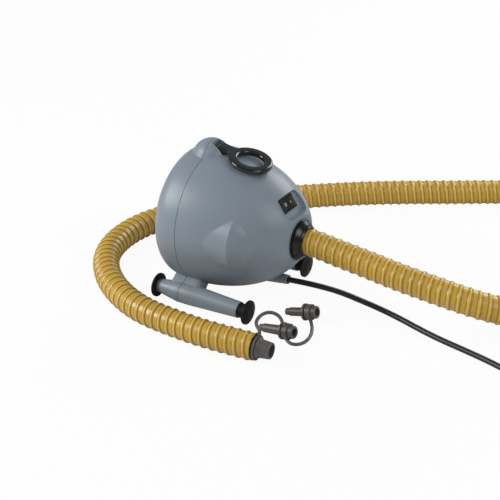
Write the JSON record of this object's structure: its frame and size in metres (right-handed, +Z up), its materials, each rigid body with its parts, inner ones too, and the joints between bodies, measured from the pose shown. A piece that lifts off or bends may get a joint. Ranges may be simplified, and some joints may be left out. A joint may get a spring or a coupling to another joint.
{
  "type": "electric inflator with hose",
  "caption": "Egg-shaped mains inflator on foot bars, with a flip-up carrying ring, rocker switch, long ribbed hose, nozzle with tethered adapters, and mains cable.",
  "frame": {"origin": "on the floor, below the middle of the casing with its two ports, measured without the hose, adapters and cable", "axes": "+X along the air axis to the outlet, +Y to the left of someone facing the outlet's way, +Z up"},
  "size_m": [0.8567, 0.7094, 0.2321],
  "materials": {
    "casing": "satin moulded",
    "ring_plastic": "glossy moulded",
    "black_rubber": "matte",
    "black_plastic": "satin moulded",
    "hose_plastic": "glossy, ribbed",
    "nozzle_plastic": "satin moulded",
    "cable_sheath": "satin",
    "rocker_plastic": "glossy, with white O and I marks",
    "steel": "zinc plated",
    "core_steel": "laminated",
    "fan_metal": "pressed and cast",
    "copper": "enamelled copper",
    "brass_metal": "plain",
    "carbon": "matte",
    "foam": "open foam",
    "pale_plastic": "matte moulded"
  },
  "bodies": {
    "root": {"front_shell": "casing", "rear_shell": "casing", "ring_pin": "steel", "front_feet": "black_rubber", "rear_feet": "black_rubber", "shell_screws": "steel", "outlet_collar": "black_plastic", "hose_cuff": "black_plastic", "inlet_collar": "black_plastic", "inlet_grille": "black_plastic", "inlet_filter": "foam", "fan_can": "fan_metal", "fan_mount": "black_rubber", "diffuser": "pale_plastic", "motor_bracket": "fan_metal", "motor_can": "steel", "end_bracket": "fan_metal", "bearings": "steel", "stator_core": "core_steel", "field_coils": "copper", "brush_holders": "black_plastic", "brushes": "carbon", "brush_springs": "steel", "motor_cup": "black_rubber", "motor_carrier": "black_plastic", "carrier_screws": "steel", "switch_housing": "black_plastic", "switch_terminals": "brass_metal", "cable_gland": "black_rubber", "inner_cable": "cable_sheath", "cord_clamp": "black_plastic", "clamp_screws": "steel", "hose": "hose_plastic", "hose_end_ring": "black_plastic", "nozzle": "nozzle_plastic", "adapter_wide": "nozzle_plastic", "adapter_narrow": "nozzle_plastic", "tether": "nozzle_plastic", "mains_cable": "cable_sheath", "cable_coil": "cable_sheath", "cable_tie": "black_plastic", "plug_lead": "cable_sheath", "plug_body": "black_plastic", "plug_pins": "brass_metal"},
    "carrying_ring": {"ring_handle": "ring_plastic"},
    "switch_rocker": {"rocker": "rocker_plastic"},
    "rotor": {"shaft": "steel", "armature_core": "core_steel", "armature_winding": "copper", "commutator": "copper", "impeller": "fan_metal", "impeller_nut": "steel"}
  },
  "joints": [
    {"name": "ring_hinge", "type": "hinge", "parent": "root", "child": "carrying_ring", "pos_m": [-0.0415, 0, 0.2221], "axis": [0, -1, 0], "range_deg": [0, 100]},
    {"name": "rocker_pivot", "type": "hinge", "parent": "root", "child": "switch_rocker", "pos_m": [0.07101, 0, 0.15932], "axis": [-0.5592, 0, 0.829], "range_deg": [0, 18]},
    {"name": "rotor_spin", "type": "hinge", "parent": "root", "child": "rotor", "pos_m": [0, 0, 0.1126], "axis": [1, 0, 0], "continuous": true}
  ]
}
